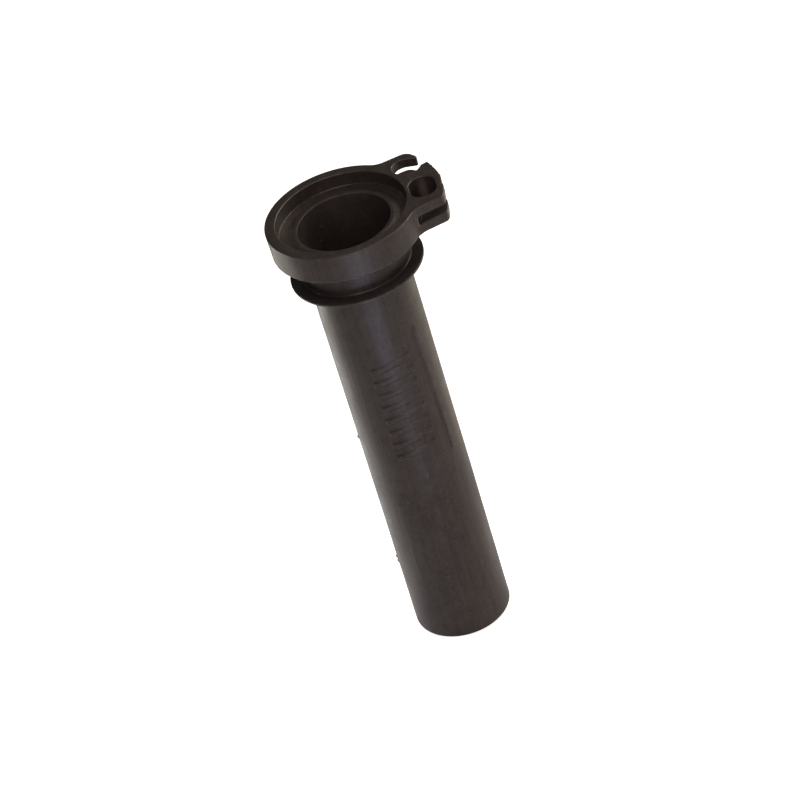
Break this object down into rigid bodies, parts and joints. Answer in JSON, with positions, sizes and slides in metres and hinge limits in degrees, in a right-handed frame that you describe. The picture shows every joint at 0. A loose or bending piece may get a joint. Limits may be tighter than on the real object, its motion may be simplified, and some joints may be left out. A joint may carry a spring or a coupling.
{
  "type": "throttle tube",
  "caption": "Twist-grip throttle tube: long plain sleeve with a stop flange, a guide neck and a cable drum with an ear and a hook.",
  "frame": {"origin": "centre of the flat outer end of the sleeve, on the bore's axis", "axes": "+Z along the bore's axis, from the outer end to the cable drum; +X towards the closed cable pocket in the drum's ear"},
  "size_m": [0.0471, 0.0402, 0.1348],
  "materials": {
    "sleeve_plastic": "semi-matt black moulded plastic, lightly scuffed",
    "drum_plastic": "semi-matt black moulded plastic"
  },
  "bodies": {
    "root": {"end_wall": "sleeve_plastic", "grip_sleeve": "sleeve_plastic", "stop_flange": "sleeve_plastic", "guide_neck": "drum_plastic", "lower_cheek": "drum_plastic", "groove_core": "drum_plastic", "recess_floor": "drum_plastic", "upper_cheek": "drum_plastic"}
  },
  "joints": []
}
